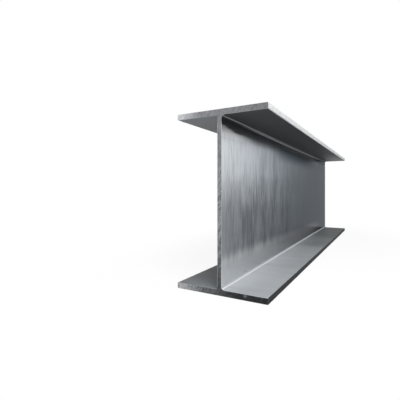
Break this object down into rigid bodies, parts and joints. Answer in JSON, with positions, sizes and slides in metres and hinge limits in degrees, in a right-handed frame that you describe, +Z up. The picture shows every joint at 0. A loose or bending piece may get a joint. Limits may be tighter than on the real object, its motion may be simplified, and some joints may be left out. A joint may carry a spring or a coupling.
{
  "type": "steel h-beam",
  "caption": "Hot-rolled steel h-beam, a straight cut length with parallel flanges and a web, used as a structural beam, post or bearer.",
  "frame": {"origin": "the middle of the lower flange's outer face, which the beam stands on", "axes": "+X along the length from the near end to the far end, +Y across the flanges to the left as seen from the near end, +Z up"},
  "size_m": [1, 0.165, 0.305],
  "materials": {
    "steel": "hot-rolled, cleaned of scale to a dull satin grey, with sawn ends"
  },
  "bodies": {
    "root": {"h_beam": "steel"}
  },
  "joints": []
}
